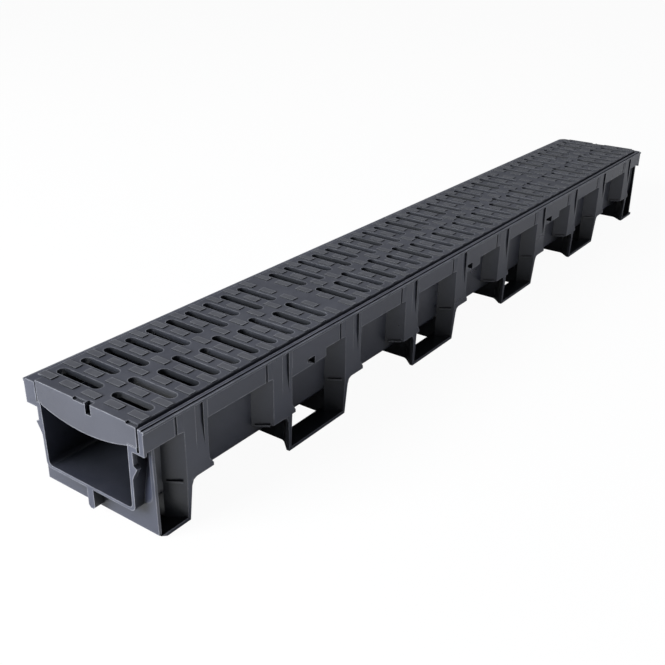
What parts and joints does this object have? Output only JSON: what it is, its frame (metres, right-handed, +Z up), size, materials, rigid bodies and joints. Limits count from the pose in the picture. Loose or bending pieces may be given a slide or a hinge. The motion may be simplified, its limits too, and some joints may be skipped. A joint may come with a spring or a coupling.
{
  "type": "channel drain",
  "caption": "Moulded channel drain length: U-shaped trough with corrugated sides and feet, ledge-mounted grate with staggered cross slots and tread nubs.",
  "frame": {"origin": "middle of the drain's footprint, on the ground plane its feet stand on", "axes": "+X along the drain from the end with the peg to the end with the socket, +Y to the left of that run, +Z up"},
  "size_m": [1, 0.13, 0.1],
  "materials": {
    "channel_plastic": "moulded satin anthracite plastic",
    "grate_plastic": "fine-textured anthracite plastic"
  },
  "bodies": {
    "root": {"channel_body": "channel_plastic", "slotted_grate": "grate_plastic"}
  },
  "joints": []
}
